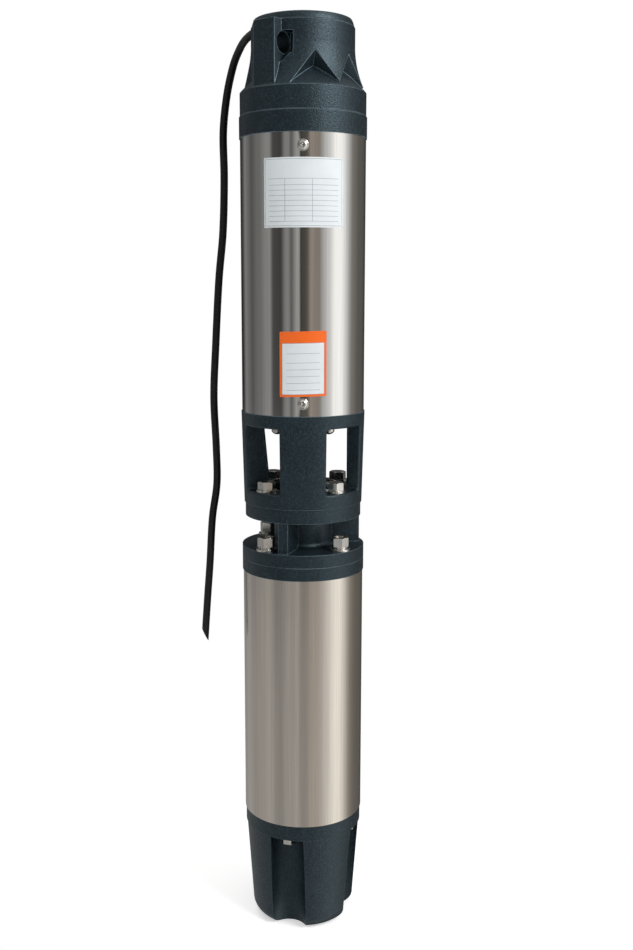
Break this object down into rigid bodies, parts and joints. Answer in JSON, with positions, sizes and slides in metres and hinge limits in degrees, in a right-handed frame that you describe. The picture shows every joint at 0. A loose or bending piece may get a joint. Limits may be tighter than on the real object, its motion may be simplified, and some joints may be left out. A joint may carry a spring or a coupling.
{
  "type": "borehole submersible pump",
  "caption": "Slim multistage submersible pump for boreholes: stainless shells, slate cast ends, open intake, threaded outlet, rope eyes and a rubber motor lead.",
  "frame": {"origin": "centre of the foot's flat bottom, on the shaft axis", "axes": "+Z along the shaft towards the outlet, -Y towards the side with the rating plates"},
  "size_m": [0.201, 0.1586, 1.0735],
  "materials": {
    "cast_paint": "slate blue paint on cast iron, fine speckle",
    "shell_bright": "polished stainless sheet",
    "shell_satin": "fine brushed stainless sheet",
    "fastener_steel": "bright stainless fasteners",
    "shaft_steel": "ground stainless shaft",
    "bearing_steel": "ground bearing steel",
    "impeller_steel": "pressed and welded stainless",
    "bowl_casting": "coated cast iron",
    "bronze": "turned bronze",
    "rubber": "moulded rubber",
    "seal_face": "lapped seal face",
    "laminations": "stacked electrical steel",
    "copper": "varnished copper windings",
    "rotor_bars": "cast aluminium end rings",
    "lead_rubber": "black lead sheath with a soft gloss",
    "guard_sheet": "folded stainless sheet"
  },
  "bodies": {
    "pump_frame": {"motor_base": "cast_paint", "motor_top_bracket": "cast_paint", "upper_bearing_housing": "cast_paint", "suction_bracket": "cast_paint", "discharge_head": "cast_paint", "pump_shell": "shell_bright", "motor_shell": "shell_satin", "base_bolts": "fastener_steel", "motor_studs": "fastener_steel", "motor_nuts": "fastener_steel", "motor_washers": "fastener_steel", "motor_spring_washers": "fastener_steel", "bracket_bolts": "fastener_steel", "bracket_washers": "fastener_steel", "inlet_screws": "fastener_steel", "shell_screws": "fastener_steel", "guard_screws": "fastener_steel", "guide_circlip": "fastener_steel", "valve_spring": "fastener_steel", "inlet_plate": "fastener_steel", "lead_gland": "fastener_steel", "lower_bearing_outer_ring": "bearing_steel", "upper_bearing_outer_ring": "bearing_steel", "stage_bowl_1": "bowl_casting", "stage_bowl_2": "bowl_casting", "stage_bowl_3": "bowl_casting", "stage_bowl_4": "bowl_casting", "top_bearing_spider": "bowl_casting", "lower_bearing_housing": "bowl_casting", "wear_rings": "bronze", "valve_seat": "bronze", "valve_guide": "bronze", "bowl_bushes": "rubber", "top_bush": "rubber", "diaphragm": "rubber", "seal_seat": "seal_face", "stator_core": "laminations", "end_windings": "copper", "motor_lead": "lead_rubber", "lead_tail": "lead_rubber", "cable_guard": "guard_sheet"},
    "motor_rotor": {"motor_shaft": "shaft_steel", "rotor_core": "laminations", "rotor_end_rings": "rotor_bars", "lower_bearing_inner_ring": "bearing_steel", "upper_bearing_inner_ring": "bearing_steel", "seal_ring": "seal_face", "sand_slinger": "rubber"},
    "pump_rotor": {"pump_shaft": "shaft_steel", "coupling_sleeve": "shaft_steel", "spacer_sleeves": "shaft_steel", "shaft_nut": "shaft_steel", "impeller_1": "impeller_steel", "impeller_2": "impeller_steel", "impeller_3": "impeller_steel", "impeller_4": "impeller_steel"},
    "lower_balls": {"lower_bearing_balls": "bearing_steel"},
    "upper_balls": {"upper_bearing_balls": "bearing_steel"},
    "check_valve": {"valve_disc": "bronze", "valve_seal": "rubber"}
  },
  "joints": [
    {"name": "rotor_spin", "type": "hinge", "parent": "pump_frame", "child": "motor_rotor", "pos_m": [0, 0, 0.3], "axis": [0, 0, 1], "continuous": true},
    {"name": "pump_spin", "type": "hinge", "parent": "pump_frame", "child": "pump_rotor", "pos_m": [0, 0, 0.75], "axis": [0, 0, 1], "continuous": true},
    {"name": "lower_ball_spin", "type": "hinge", "parent": "pump_frame", "child": "lower_balls", "pos_m": [0, 0, 0.1615], "axis": [0, 0, 1], "continuous": true},
    {"name": "upper_ball_spin", "type": "hinge", "parent": "pump_frame", "child": "upper_balls", "pos_m": [0, 0, 0.4135], "axis": [0, 0, 1], "continuous": true},
    {"name": "valve_lift", "type": "slide", "parent": "pump_frame", "child": "check_valve", "axis": [0, 0, 1], "range_m": [0, 0.012], "stiffness_N_per_m": 300, "springref_m": -0.01, "deforming": ["valve_spring"]}
  ],
  "couplings": [
    {"joint": "pump_spin", "follows": "rotor_spin", "ratio": 1},
    {"joint": "lower_ball_spin", "follows": "rotor_spin", "ratio": 0.3759},
    {"joint": "upper_ball_spin", "follows": "rotor_spin", "ratio": 0.3759}
  ]
}
